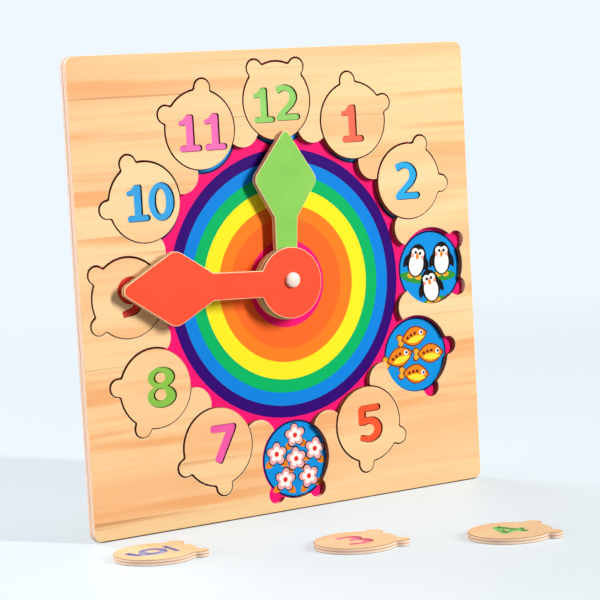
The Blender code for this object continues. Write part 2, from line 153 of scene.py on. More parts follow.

# %% [markdown]
# The pine is flat-sliced plywood under a clear satin lacquer. What the eye reads is
# nearly level grain: broad soft bands of cream and peach, uneven orange streaks where the
# summer wood is dense, a few thin brown lines and hair-fine fibres. Stretched noise makes
# all of them. The seated pieces are calmer wood from another place in the sheet, and a
# piece that lies on the table gets the same pattern, turned with it and a little paler,
# which paints the sheen of its lacquer seen at a low angle.

# %% Pine plywood
def face_grain(tree, place, bold):
    """Level pine grain for a face across x and z. Returns its colour and its fibres."""
    def noise(length, height, shift=0, detail=2.0, source=None):
        """Noise whose lumps are so many mm long and high, from another part of its field."""
        spread = add(tree, "Mapping", {"Vector": source or bent}, Location=(shift, 0, shift),
                     Scale=(per(length), 1, per(height)))
        return add(tree, "TexNoise", {"Vector": spread.outputs[0]}, Scale=1, Detail=detail)

    def between(source, low, high, least=0.0, most=1.0):
        return add(tree, "MapRange", {"Value": source}, From_Min=low, From_Max=high,
                   To_Min=least, To_Max=most).outputs[0]

    def layer(strength, ground, code):
        return add(tree, "Mix", {0: strength, 6: ground}, {7: colour(code)},
                   data_type="RGBA").outputs[2]

    def times(product, *factors):
        for factor in factors:
            node = add(tree, "Math", {0: product}, operation="MULTIPLY")
            if isinstance(factor, float):
                node.inputs[1].default_value = factor
            else:
                tree.links.new(factor, node.inputs[1])
            product = node.outputs[0]
        return product

    # A slow waver of 6 mm either way over some 250 mm bends every line a little
    waver = noise(250, 143, 0.4, 1.0, place)
    offset = add(tree, "CombineXYZ", {"Z": between(waver.outputs[0], 0, 1, -6 * MM, 6 * MM)})
    bent = add(tree, "VectorMath", {0: place, 1: offset.outputs[0]}, operation="ADD").outputs[0]
    # Broad bands of cream and peach, 30 to 60 mm high and longer than the board is wide
    bands = noise(625, 41.7, 33.6, 1.5)
    ground = add(tree, "ValToRGB", {"Fac": bands.outputs[0]}, stops=[
        (0.38, "#F7C18B"), (0.46, "#FACE9A"), (0.54, "#FAD5A0"), (0.62, "#FADAA7")]).outputs[0]
    # Streaks of denser wood: orange, 4 to 10 mm high, tapering over 150 mm, few and uneven
    streaks = between(noise(278, 13.2, 1.3, 3.0).outputs[0], 0.5, 0.62)
    streaks_show = between(noise(333, 83.3, 22.6, 1.0).outputs[0], 0.38, 0.56)
    ground = layer(times(streaks, streaks_show, bold), ground, "#F2A868")
    # Finer streaks between them, 1 to 3 mm high
    fine = between(noise(143, 3.85, 6.1, 2.0).outputs[0], 0.5, 0.72)
    ground = layer(times(fine, 0.4 * bold), ground, "#F0B47C")
    # Thin brown lines 1 mm high and very long, only here and there
    thin = between(noise(313, 3.23, 8.8, 1.0).outputs[0], 0.64, 0.72)
    thin_show = between(noise(333, 45.5, 2.6, 1.0).outputs[0], 0.44, 0.6)
    ground = layer(times(thin, thin_show, bold), ground, "#CC9560")
    # Fibres: 0.35 mm across and 25 mm long, as coarse as they need to be to show
    fibres = noise(25, 0.357).outputs[0]
    fleck = between(fibres, 0.3, 0.7, 0.98, 1.015)
    grey = add(tree, "CombineColor", {0: fleck, 1: fleck, 2: fleck}).outputs[0]
    return add(tree, "Mix", {6: ground, 7: grey}, {0: 1}, data_type="RGBA",
               blend_type="MULTIPLY").outputs[2], fibres


def pine(name, turn=(0, 0, 0), centre=(0, 0, 0), bold=0.8, roughness=0.42, strong=1.0):
    """Pine plywood, lacquered or bare, with bold or faint grain, in full colour or paler to paint
    a lacquer sheen.
    """
    made, tree, shader = finish(name, roughness, Specular_IOR_Level=0.2)
    where = add(tree, "TexCoord")
    turned = add(tree, "Mapping", {"Vector": where.outputs["Object"]}, vector_type="TEXTURE",
                 Location=centre, Rotation=turn)
    tint, fibres = face_grain(tree, turned.outputs[0], bold)
    faded = add(tree, "HueSaturation", {"Color": tint}, Saturation=strong)
    plug(tree, faded.outputs[0], shader, "Base Color")
    bump = add(tree, "Bump", {"Height": fibres}, Strength=0.12, Distance=0.05 * MM)
    plug(tree, bump.outputs[0], shader, "Normal")
    return made


board_pine = pine("pine_plywood_lacquered")
piece_pine = pine("pine_of_the_seated_pieces", centre=(0.05, 0, 0.03), bold=0.5)
print("made", board_pine.name, "and", piece_pine.name)

# %% [markdown]
# The printed sheet and the backing board are as large as the frame, so their outlines
# show all round the board. The colour of their faces ends a little short of the outline,
# and the sheet is bare between its faces. A mask by place shows the paler tone there.

# %% Bare edges of full-size sheets
SHEET_MARGIN = 0.8 * MM
FACE_SKIN = 0.04 * MM


def show_edge(material, node, code):
    """Give a full-size sheet another colour between its faces and along its outline."""
    front, back = (corner.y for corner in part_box(node))
    tree = material.node_tree
    shader = tree.nodes["Principled BSDF"]
    face_colour = shader.inputs["Base Color"].links[0].from_socket
    where = add(tree, "TexCoord")
    middle = add(tree, "VectorMath", {0: where.outputs["Object"]}, operation="SUBTRACT")
    middle.inputs[1].default_value = (0, (front + back) / 2, half_board)
    spread = add(tree, "VectorMath", {0: middle.outputs[0]}, operation="ABSOLUTE")
    split = add(tree, "SeparateXYZ", {0: spread.outputs[0]})
    between = add(tree, "Math", {0: split.outputs["Y"]}, {1: (back - front) / 2 - FACE_SKIN},
                  operation="LESS_THAN")
    far = add(tree, "Math", {0: split.outputs["X"], 1: split.outputs["Z"]}, operation="MAXIMUM")
    outer = add(tree, "Math", {0: far.outputs[0]}, {1: half_board - SHEET_MARGIN},
                operation="GREATER_THAN")
    edge = add(tree, "Math", {0: between.outputs[0], 1: outer.outputs[0]}, operation="MAXIMUM")
    mixed = add(tree, "Mix", {0: edge.outputs[0], 6: face_colour}, {7: colour(code)},
                data_type="RGBA")
    plug(tree, mixed.outputs[2], shader, "Base Color")


print("faces of full sheets end", SHEET_MARGIN / MM, "mm short of the outline")

# %% [markdown]
# The edges show how the sheet is built. Plywood is peeled sheets glued crosswise, so an
# edge has layers: pale along the grain, brown across it. The outer edges of the board are
# sanded and pale, and those of the hands are bare: cream, tan and cream again. The narrow
# walls that the saw left in the board are scorched and brown. Their tones are darkest next
# to the face, which paints the shade in the seams, and reddish and lighter further in,
# which paints the light that the pink print throws back onto them. The pieces that lie on
# the table show their sawn edge cleaned to cream between two darker bands, which paint the
# shade under the face and at the table.

# %% Plywood edges
# Glue lines wander by this much, in waves some 2.4 mm long
RAGGED = 0.12 * MM
RAGGED_WAVE = 2.4


def ply_edge(name, tones, layers, turn=(0, 0, 0), centre=(0, 0, 0), roughness=0.6):
    """A cut edge: layers through the sheet's thickness, which is the model's y."""
    made, tree, shader = finish(name, roughness, Specular_IOR_Level=0.15)
    where = add(tree, "TexCoord")
    turned = add(tree, "Mapping", {"Vector": where.outputs["Object"]}, vector_type="TEXTURE",
                 Location=centre, Rotation=turn)
    split = add(tree, "SeparateXYZ", {0: turned.outputs[0]})
    ragged = add(tree, "TexNoise", {"Vector": add(
        tree, "Mapping", {"Vector": turned.outputs[0]}, Scale=(per(RAGGED_WAVE),) * 3).outputs[0]},
        Scale=1, Detail=2)
    wobble = add(tree, "MapRange", {"Value": ragged.outputs["Fac"]}, To_Min=-RAGGED,
                 To_Max=RAGGED)
    depth = add(tree, "Math", {0: split.outputs["Y"], 1: wobble.outputs[0]}, operation="ADD")
    share = add(tree, "MapRange", {"Value": depth.outputs[0]}, From_Min=layers[0],
                From_Max=layers[1])
    ramp = add(tree, "ValToRGB", {"Fac": share.outputs[0]}, stops=tones)
    plug(tree, ramp.outputs[0], shader, "Base Color")
    bump = add(tree, "Bump", {"Height": ragged.outputs["Fac"]}, Strength=0.2, Distance=0.1 * MM)
    plug(tree, bump.outputs[0], shader, "Normal")
    return made


# Tones through the sheet, from its face at 0 to its back at 1
# The darkest tones next to the face paint the shade in the seams; the reddish, lighter ones paint
# light thrown back from the pink print
SAWN_AND_PAINTED_LIGHT = [(0.0, "#2E1406"), (0.16, "#4E240C"), (0.3, "#C07A4A"), (0.36, "#8E4426"),
        (0.64, "#863E24"), (0.7, "#BC7850"), (1.0, "#964630")]
SANDED = [(0.0, "#FBE6D8"), (0.3, "#F8DECB"), (0.36, "#EBC7A8"), (0.64, "#EDCBAE"),
          (0.7, "#F8E0CE"), (1.0, "#F6DBC6")]
BARE = [(0.0, "#F3D9B4"), (0.22, "#EBCB9F"), (0.3, "#A87444"), (0.7, "#B07C4A"),
        (0.78, "#EBCB9F"), (1.0, "#F3D9B4")]
# The darker ends paint the shade under the face and at the table
BROWNED_AND_PAINTED_SHADE = [(0.0, "#C08E62"), (0.08, "#EBCDAE"), (0.34, "#FFEEDF"), (0.42, "#D8AC8A"),
           (0.58, "#DAB090"), (0.66, "#FFF1E4"), (0.9, "#F0DAC6"), (1.0, "#8E7058")]
sawn_edge_and_painted_light = ply_edge("sawn_plywood_wall_and_painted_light", SAWN_AND_PAINTED_LIGHT, frame_layers)
sanded_edge = ply_edge("sanded_plywood_edge", SANDED, frame_layers)
print("layers through", round((frame_layers[1] - frame_layers[0]) / MM, 2), "mm")

# %% [markdown]
# Paint on the toy is thick, bright and a little glossy. It is brushed or sprayed on, so
# it is never quite even: clouds some 17 mm wide move its tone, and a skin of 1.1 mm, as
# coarse as it needs to be to show, breaks its gloss. The same recipe, matt and blotchy,
# serves the rims: pale on the frame and the hands, a painted highlight along the edge and
# on the hands also bare wood where paint is sanded off; dark in the seams of the seated
# pieces, scorched wood with painted seam shade; and brown on the pieces that lie on the
# table, painted shade under their face.

# %% Paint
PAINT_CLOUD = 16.7
PAINT_SKIN = 1.1


def paint(name, code, roughness=0.38, uneven=0.05):
    """Toy enamel of one colour, brushed on wood."""
    made, tree, shader = finish(name, roughness, Specular_IOR_Level=0.18)
    where = add(tree, "TexCoord")
    cloud = add(tree, "TexNoise", {"Vector": where.outputs["Object"]}, Scale=per(PAINT_CLOUD),
                Detail=3)
    tone = add(tree, "MapRange", {"Value": cloud.outputs["Fac"]}, From_Min=0.3, From_Max=0.7,
               To_Min=1 - uneven, To_Max=1 + uneven)
    mixed = add(tree, "HueSaturation", {"Value": tone.outputs[0]}, Color=colour(code))
    plug(tree, mixed.outputs[0], shader, "Base Color")
    skin = add(tree, "TexNoise", {"Vector": where.outputs["Object"]}, Scale=per(PAINT_SKIN),
               Detail=1)
    bump = add(tree, "Bump", {"Height": skin.outputs["Fac"]}, Strength=0.06, Distance=0.05 * MM)
    plug(tree, bump.outputs[0], shader, "Normal")
    return made


# Pale rim: a painted highlight along rounded edges, and on the hands also bare wood where paint is
# sanded off
sanded_rim_and_highlight = paint("sanded_rim_and_highlight", "#F8DDB8", 0.5, 0.12)
# Brown rim of the pieces on the table: painted shade under their face
browned_rim_and_painted_shade = paint("browned_rim_and_painted_shade", "#B88A5E", 0.6, 0.15)
# Dark rim of the seated pieces: scorched wood, darkened further to paint the shade in the seams
scorched_rim_and_seam_shade = paint("scorched_rim_and_seam_shade", "#6A3E1C", 0.6, 0.2)
red_paint = paint("red_enamel", "#FF502F")
green_paint = paint("green_enamel", "#87CF58")
print("paints:", red_paint.name, green_paint.name)

# %% [markdown]
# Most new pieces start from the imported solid, so they have exactly its outline. Its mesh
# is loose triangles, so a copy is welded, its flat faces are made whole again, and its
# edges are rounded with a bevel. Real wooden parts never have razor edges, and the thin
# highlight along a rounded edge is what makes them look solid.

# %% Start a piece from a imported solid
WELD = 0.01 * MM
NEAR = 0.1 * MM
FLAT, SMOOTH, CRISP = radians(0.6), radians(35), radians(50)


def welded(node):
    """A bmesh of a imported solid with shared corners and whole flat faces."""
    work = bmesh.new()
    work.from_mesh(nodes[node].data)
    bmesh.ops.remove_doubles(work, verts=work.verts, dist=WELD)
    bmesh.ops.dissolve_limit(work, angle_limit=FLAT, verts=work.verts, edges=work.edges)
    return work


def round_edges(work, chosen, width, material):
    """Round the chosen edges of a bmesh and give the rounding a finish of its own."""
    bmesh.ops.bevel(work, geom=chosen, offset=width, offset_type="OFFSET", segments=3,
                    profile=0.5, affect="EDGES", material=material, clamp_overlap=False)


def crisp_edges(work):
    """Edges where two faces meet sharply."""
    return [e for e in work.edges if e.is_manifold and e.calc_face_angle() > CRISP]


def front_edges(work, front):
    """Crisp edges round a front face."""
    return [e for e in crisp_edges(work) if all(v.co.y < front + NEAR for v in e.verts)]


def put(work, name, body, materials, node):
    """Make the bmesh an object that rides on a body and stands for its solid."""
    bmesh.ops.recalc_face_normals(work, faces=work.faces)
    mesh = bpy.data.meshes.new(name)
    for face in work.faces:
        face.smooth = True
    work.to_mesh(mesh)
    work.free()
    mesh.set_sharp_from_angle(angle=SMOOTH)
    made = bpy.data.objects.new(name, mesh)
    bpy.context.scene.collection.objects.link(made)
    for material in materials:
        mesh.materials.append(material)
    even = made.modifiers.new("even_normals", "WEIGHTED_NORMAL")
    even.keep_sharp = True
    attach(made, body)
    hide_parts(node)
    print(name, len(mesh.polygons), "faces")


print("edges are rounded above", round(degrees(CRISP)), "degrees")

# %% [markdown]
# The front frame. The face is board pine, the outer edges are sanded and the pocket
# walls are sawn. A face's normal and place tell them apart before the edges are rounded,
# and the rounding is pale, a painted highlight along it. Last, a cut just above the table
# marks off the lower edge for a painted contact shadow.

# %% Front frame
FACE, OUTER_EDGE, POCKET_WALL, PAINTED_CONTACT_SHADOW, FRAME_RIM = range(5)
FRAME_ROUNDING = 0.32 * MM
# The outer edge lies within this of the outline, also where it turns the corners
EDGE_BAND = 6.5 * MM
# The lowest strip is coloured dark brown, a painted contact shadow where the board meets the table
CONTACT_SHADOW_HEIGHT = 0.8 * MM

frame_work = welded("front_frame")
for face in frame_work.faces:
    middle = face.calc_center_median()
    if abs(face.normal.y) > 0.9:
        face.material_index = FACE
    elif max(abs(middle.x), abs(middle.z - half_board)) > half_board - EDGE_BAND:
        face.material_index = OUTER_EDGE
    else:
        face.material_index = POCKET_WALL
round_edges(frame_work, front_edges(frame_work, frame_front.y), FRAME_ROUNDING, FRAME_RIM)
bmesh.ops.bisect_plane(frame_work, geom=frame_work.faces[:] + frame_work.edges[:]
                       + frame_work.verts[:], dist=WELD / 10, plane_co=(0, 0, CONTACT_SHADOW_HEIGHT),
                       plane_no=(0, 0, 1))
# Painted contact shadow: the lowest faces that look forward turn dark
for face in frame_work.faces:
    if face.calc_center_median().z < CONTACT_SHADOW_HEIGHT and face.normal.y < -0.1:
        face.material_index = PAINTED_CONTACT_SHADOW
contact_shadow_edge = ply_edge("painted_contact_shadow_edge", [(0.0, "#5C3E20"), (1.0, "#6A482E")], frame_layers)
put(frame_work, "wooden_front_frame", "board",
    [board_pine, sanded_edge, sawn_edge_and_painted_light, contact_shadow_edge, sanded_rim_and_highlight], "front_frame")

# %% [markdown]
# The number pieces. Each head is cut with its number one millimetre deep, and the floor
# of the number is filled with paint. The walls of the cut get a darker copy of that paint,
# painted shade that draws a dark line round the number. An inset of the floor widens that
# line on the right and lower side with the same darker paint, a painted shadow.

# %% Paints of the numbers
# Each number's paint and a darker copy that paints the shade on its cut; the copies for pieces on
# the table are paler, as more light falls there
NUMBER_PAINTS = {
    1: ("#FA6A50", "#5C1E10"), 2: ("#1EAEF5", "#0A2C48"), 3: ("#F88CA6", "#DA7088"),
    4: ("#90DA7A", "#68A658"), 5: ("#F9582E", "#5C200E"), 6: ("#A9ACD8", "#9092C0"),
    7: ("#F65CB0", "#4A0E24"), 8: ("#8ACB4C", "#2A380C"), 9: ("#E83C30", "#4C0E08"),
    10: ("#2FA8F0", "#0E2C38"), 11: ("#F46CBC", "#4C1430"), 12: ("#8ED56A", "#2E3C14"),
}
# How far the pieces on the table are turned
LOOSE_TURNS = {3: radians(-5), 4: radians(14), 6: radians(88)}
print("pieces on the table:", sorted(LOOSE_TURNS))

# %% Faces of a number piece
ENGRAVING = 1.0 * MM
# A strip of the floor on the right and lower side gets the darker paint, a painted shadow
PAINTED_SHADOW_WIDTH = 0.4 * MM
PAINTED_SHADOW_SIDE = Vector((0.8, 0, -0.6))
WOOD, WALL, PAINTED, CUT, LINE, RIM = range(6)


def sort_faces(work, out, top):
    """Tell the wooden face, the outer wall, the floor of the number and its walls apart."""
    for face in work.faces:
        depths = [top - v.co.dot(out) for v in face.verts]
        facing = face.normal.dot(out)
        if facing > 0.9 and min(depths) > ENGRAVING / 2:
            face.material_index = PAINTED
        elif abs(facing) < 0.5:
            face.material_index = CUT if max(depths) < 1.2 * ENGRAVING else WALL


def paint_number_shade(work, shaded_side):
    """Inset the floor of the number and paint shadow on the strip along its shaded side."""
    painted = [f for f in work.faces if f.material_index == PAINTED]
    for face in bmesh.ops.inset_region(work, faces=painted, thickness=PAINTED_SHADOW_WIDTH,
                                       use_even_offset=True)["faces"]:
        walls = [e for e in face.edges if CUT in [f.material_index for f in e.link_faces]]
        side = walls[0].verts[0].co + walls[0].verts[1].co - 2 * face.calc_center_median()
        if side.normalized().dot(shaded_side) > 0.1:
            face.material_index = LINE


print("numbers are cut", ENGRAVING / MM, "mm deep")

# %% Number pieces
PIECE_ROUNDING = 0.3 * MM


def number_piece(number, bright, dark):
    """Dress one number piece, seated in its pocket or loose on the table."""
    node = f"number_piece_{number}"
    low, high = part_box(node)
    out, top, turn = Vector((0, -1, 0)), -low.y, (0, 0, 0)
    # Seated pieces: their walls and rims are darkened to paint the shade in the seams
    wood, wall, rim = piece_pine, sawn_edge_and_painted_light, scorched_rim_and_seam_shade
    # A piece on the table lies face up, so its grain and its layers are turned with it
    if number in LOOSE_TURNS:
        out, top, turn = Vector((0, 0, 1)), high.z, (-pi / 2, 0, LOOSE_TURNS[number])
        centre, half = (low + high) / 2, (high.z - low.z) / 2
        # Paler pine paints the sheen of the lacquer seen at a low angle; edge and rim carry
        # painted shade under the face and at the table
        wood = pine(f"pine_of_piece_{number}", turn, centre, bold=0.4, strong=0.92)
        wall = ply_edge(f"edge_of_piece_{number}", BROWNED_AND_PAINTED_SHADE, (-half, half), turn, centre)
        rim = browned_rim_and_painted_shade
    work = welded(node)
    sort_faces(work, out, top)
    paint_number_shade(work, Matrix.Rotation(turn[2], 3, "Z") @ Matrix.Rotation(turn[0], 3, "X")
                   @ PAINTED_SHADOW_SIDE)
    outline = [e for e in crisp_edges(work)
               if sum(f.material_index == WALL for f in e.link_faces) == 1]
    round_edges(work, outline, PIECE_ROUNDING, RIM)
    # Painted shade: the darker paint on the walls of the cut and the strip beside them
    shade = paint(f"painted_shade_of_{number}", dark)
    put(work, f"wooden_number_piece_{number}", f"piece_{number}",
        [wood, wall, paint(f"paint_of_{number}", bright), shade, shade, rim], node)


for number, (bright, dark) in NUMBER_PAINTS.items():
    number_piece(number, bright, dark)

# %% [markdown]
# The hands. They are sawn from the same plywood, painted on the face and left bare on
# the edge. The rounded rim is pale: bare wood where the paint is sanded off, and a
# painted highlight along the edge.

# %% Hands
HAND_PAINT, HAND_RIM, HAND_EDGE = range(3)
HAND_ROUNDING = 0.45 * MM

for node, face_paint, slot in (("hour_hand", green_paint, "green_painted_plywood"),
                               ("minute_hand", red_paint, "red_painted_plywood")):
    low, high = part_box(node)
    work = welded(node)
    for face in work.faces:
        face.material_index = HAND_PAINT if face.normal.y < -0.9 else HAND_EDGE
    round_edges(work, front_edges(work, low.y), HAND_ROUNDING, HAND_RIM)
    bare = ply_edge(f"bare_edge_of_{node}", BARE, (low.y, high.y))
    put(work, f"painted_{node}", node, [face_paint, sanded_rim_and_highlight, bare], node)

# %% [markdown]
# The pin, its cap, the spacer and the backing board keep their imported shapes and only
# get a finish. Pin and cap are smooth moulded plastic, a little cloudy. The backing board
# is thin bare plywood, duller and fainter in grain than the lacquered face.

# %% Pin, cap, spacer and backing board
def plastic(name, code):
    """Smooth moulded plastic with faint clouds."""
    made, tree, shader = finish(name, 0.3, IOR=1.49)
    where = add(tree, "TexCoord")
    cloud = add(tree, "TexNoise", {"Vector": where.outputs["Object"]}, Scale=per(5), Detail=2)
    tone = add(tree, "MapRange", {"Value": cloud.outputs["Fac"]}, To_Min=0.97, To_Max=1.02)
    mixed = add(tree, "HueSaturation", {"Value": tone.outputs[0]}, Color=colour(code))
    plug(tree, mixed.outputs[0], shader, "Base Color")
    return made


def coat(node, material):
    """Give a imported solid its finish."""
    nodes[node].data.materials.clear()
    nodes[node].data.materials.append(material)
    print(node, "finished with", material.name)


pin_plastic = plastic("off_white_moulded_plastic", "#FBEDE3")
back_ply = pine("thin_plywood_unlacquered", bold=0.4, roughness=0.75)
show_edge(back_ply, "back_board", "#F0D3BC")
spacer_ply = ply_edge("plain_plywood_edge", SAWN_AND_PAINTED_LIGHT, (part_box("hub_spacer")[0].y,
                                                  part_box("hub_spacer")[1].y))
for node, material in (("pivot_pin", pin_plastic), ("pin_back_cap", pin_plastic),
                       ("back_board", back_ply), ("hub_spacer", spacer_ply)):
    coat(node, material)

# %% [markdown]
# The printed sheet. Rings of flat, strong colour round a centre that sits a little off
# the middle of the board, because the print was glued on by hand. A ring is only a
# distance, so the rings are a colour ramp with hard steps on the distance to that centre.

# %% Printed rings
PRINT_CENTRE = Vector((2.6 * MM, 0, half_board - 2.1 * MM))
# The outer radius of each ring in mm, from the middle outwards
RINGS = [(28.5, "#FF1A7A"), (42, "#FF6F2A"), (51, "#FF8426"), (62.5, "#FFF12A"),
         (71, "#0ABA68"), (79.6, "#1187EA"), (87.3, "#340A7A"), (400, "#FF1A7A")]
RINGS_REACH = 100
# The Mapping node divides by its scale, so this takes the depth out of the distance
NO_DEPTH = (1, 100000, 1)
printed_paper, tree, shader = finish("printed_paper_lacquered", 0.3, Specular_IOR_Level=0.06)
where = add(tree, "TexCoord")
centred = add(tree, "Mapping", {"Vector": where.outputs["Object"]}, vector_type="TEXTURE",
              Location=PRINT_CENTRE, Scale=NO_DEPTH)
distance = add(tree, "VectorMath", {0: centred.outputs[0]}, operation="LENGTH")
share = add(tree, "MapRange", {"Value": distance.outputs["Value"]},
            From_Max=RINGS_REACH * MM)
stops = [(0, RINGS[0][1])] + [(inner[0] / RINGS_REACH, outer[1])
                              for inner, outer in zip(RINGS, RINGS[1:])]
ramp = add(tree, "ValToRGB", {"Fac": share.outputs[0]}, stops=stops)
ramp.color_ramp.interpolation = "CONSTANT"
plug(tree, ramp.outputs[0], shader, "Base Color")
show_edge(printed_paper, "printed_sheet", "#F6E4E0")
coat("printed_sheet", printed_paper)
print("rings printed:", len(RINGS))

# %% [markdown]
# Under every piece the print shows a round blue picture with as many small things as the
# number on the piece, so a child can count them. These are plain nursery motifs. A motif
# is a few flat patches of ink on top of each other, each a circle whose corners are moved
# to a simple outline. The ink is a colour attribute, so one material serves them all.

# %% Outlines of the motifs
def petals(count, depth):
    """Round petals with sharp valleys."""
    def at(a):
        reach = 1 - depth * (1 - abs(cos(count * a / 2)))
        return reach * sin(a), reach * cos(a)
    return at


def points(count, depth):
    """Sharp points with round valleys."""
    def at(a):
        reach = 1 - depth * abs(sin(count * a / 2))
        return reach * sin(a), reach * cos(a)
    return at


OUTLINES = {
    "disc": lambda a: (cos(a), sin(a)),
    "leaf": lambda a: (0.6 * sin(a) * abs(sin(a)), cos(a)),
    "heart": lambda a: (0.94 * sin(a) ** 3, 0.76 * cos(a) - 0.29 * cos(2 * a)
                        - 0.12 * cos(3 * a) - 0.06 * cos(4 * a) + 0.1),
    "drop": lambda a: (0.62 * sin(a) * sin(a / 2), cos(a)),
    "blossom": petals(5, 0.36), "clover": petals(3, 0.5),
    "star": points(5, 0.55), "sun": points(14, 0.3),
}
INKS = {"black": "#15131A", "white": "#FFFFFF", "pink": "#F7A9A0", "rose": "#F3B3B8",
        "red": "#E5322B", "orange": "#F28A1E", "amber": "#F9B233", "yellow": "#FFE93B",
        "brown": "#7A2E12", "green": "#2F9A3C", "dark green": "#14512A", "lime": "#9BD64B",
        "violet": "#7B3FA8", "sky": "#0C97EE", "navy": "#0E1C5A"}
print("outlines:", len(OUTLINES), "- inks:", len(INKS))

# %% [markdown]
# A motif is drawn one unit high or less, as a list of spots from the bottom layer to the
# top one. A darker spot under a lighter one of the same outline gives the drawn line that
# such prints have.

# %% Motifs
def spot(outline, ink, size, right=0.0, up=0.0, width=1.0, turn=0.0):
    """One patch of a motif: its outline, ink, size, place, width against height and turn."""
    local = Matrix.Translation((right, 0, up)) @ Matrix.Rotation(turn, 4, "Y")
    return outline, ink, local @ Matrix.Diagonal((size * width, 1, size, 1))


def pair(outline, ink, size, right, up, width=1.0, turn=0.0):
    """A patch and its mirror image."""
    return [spot(outline, ink, size, side * right, up, width, side * turn) for side in (-1, 1)]


QUARTER = pi / 2
MOTIFS = {
    1: [spot("sun", "orange", 1.0), spot("disc", "red", 0.66), spot("disc", "yellow", 0.6)],
    2: [spot("heart", "black", 1.0), spot("heart", "red", 0.9),
        spot("leaf", "dark green", 0.34, 0.12, 0.84, turn=0.7),
        spot("disc", "white", 0.12, -0.42, 0.28)],
    3: [spot("disc", "green", 0.3, 0, -0.98, 3.2), *pair("disc", "amber", 0.15, 0.26, -0.9, 1.5),
        *pair("leaf", "black", 0.52, 0.62, -0.06, 0.7, -0.45),
        spot("disc", "black", 0.94, 0, 0, 0.7), spot("disc", "white", 0.66, 0, -0.2, 0.74),
        *pair("disc", "white", 0.24, 0.19, 0.44), *pair("disc", "black", 0.09, 0.15, 0.44),
        *pair("disc", "pink", 0.1, 0.34, 0.24), spot("leaf", "orange", 0.2, 0, 0.24, 0.9)],
    4: [spot("heart", "brown", 0.46, -0.94, turn=-QUARTER),
        spot("heart", "amber", 0.36, -0.94, turn=-QUARTER),
        spot("leaf", "brown", 1.0, turn=QUARTER), spot("leaf", "orange", 0.88, turn=QUARTER),
        spot("leaf", "yellow", 0.66, 0.06, -0.2, 0.5, QUARTER),
        *[spot("disc", "brown", 0.1, x, 0.18 - 0.3 * abs(x)) for x in (-0.5, -0.22, 0.06)],
        spot("disc", "white", 0.15, 0.5, 0.1), spot("disc", "black", 0.08, 0.53, 0.1)],
    5: [spot("leaf", "dark green", 1.0), spot("leaf", "lime", 0.88),
        spot("leaf", "green", 0.8, width=0.16)],
    6: [*pair("leaf", "orange", 0.5, 0.62, -0.72, 1.0, -1.0), spot("blossom", "black", 1.0),
        spot("blossom", "rose", 0.89), spot("blossom", "white", 0.6),
        spot("disc", "red", 0.2)],
    7: [spot("drop", "black", 1.0, width=1.3), spot("drop", "violet", 0.88, width=1.3),
        spot("disc", "white", 0.14, -0.24, -0.2)],
    8: [spot("star", "brown", 1.0), spot("star", "orange", 0.86), spot("disc", "amber", 0.22)],
    9: [spot("disc", "black", 0.45, 0, 0.7), spot("disc", "black", 0.86),
        spot("disc", "red", 0.76), spot("leaf", "black", 0.74, width=0.12),
        *pair("disc", "black", 0.15, 0.36, 0.22), *pair("disc", "black", 0.13, 0.3, -0.26)],
    10: [spot("star", "navy", 1.0), spot("star", "yellow", 0.84)],
    11: [spot("drop", "navy", 1.0), spot("drop", "white", 0.84)],
    12: [spot("clover", "dark green", 1.0), spot("clover", "lime", 0.86)],
}
# How many stand in an inner and an outer ring, the two ring radii and a motif's size, mm
LAYOUTS = {1: (1, 0, 0, 0, 16), 2: (0, 2, 0, 10.8, 10.4), 3: (0, 3, 0, 12, 12),
           4: (0, 4, 0, 12.8, 11.4), 5: (0, 5, 0, 13.6, 8.8), 6: (1, 5, 0, 15.6, 8.5),
           7: (1, 6, 0, 15.4, 6.8), 8: (1, 7, 0, 15.8, 6.4), 9: (2, 7, 5.4, 16.6, 5.2),
           10: (2, 8, 5.6, 16.8, 5.6), 11: (3, 8, 6.4, 17.2, 5.4), 12: (3, 9, 6.4, 17.4, 5.2)}
print("motifs:", len(MOTIFS))

# %% [markdown]
# The ink is offset print under lacquer, so it is flat, with a faint shine. Its colour
# comes from the mesh, and only a soft mottle breaks it.

# %% Printed ink
ink_finish, tree, shader = finish("printed_ink_lacquered", 0.3, Specular_IOR_Level=0.12)
tint = add(tree, "Attribute", attribute_name="ink")
where = add(tree, "TexCoord")
# The dots of a print are about 0.2 mm apart; a soft mottle at 1 mm stands for them
mottle = add(tree, "TexNoise", {"Vector": where.outputs["Object"]}, Scale=per(1), Detail=1)
tone = add(tree, "MapRange", {"Value": mottle.outputs["Fac"]}, To_Min=0.96, To_Max=1.03)
mixed = add(tree, "HueSaturation", {"Value": tone.outputs[0], "Color": tint.outputs["Color"]})
plug(tree, mixed.outputs[0], shader, "Base Color")
print("made", ink_finish.name)

# %% [markdown]
# The pictures stand in a ring round the print's centre, one under each piece. Each is a
# blue disc with a navy line, and the motifs stand on it in one or two rings, each leaning
# a little its own way. Every layer of ink lies a hair in front of the one below.

# %% Pocket pictures
PICTURE_RING = 115.2 * MM
# The print is uneven: these pictures lie further out, mostly hidden by their pieces
PICTURE_OUTWARD = {1: 0.8, 7: 2.0, 8: 2.6, 9: 2.6, 10: 2.4, 11: 0.8}
PICTURE_RADIUS = 25.7 * MM
PICTURE_LINE = 1.4 * MM
INK_STEP = 0.012 * MM
DISC_CORNERS, SPOT_CORNERS = 96, 60
print_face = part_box("printed_sheet")[0].y


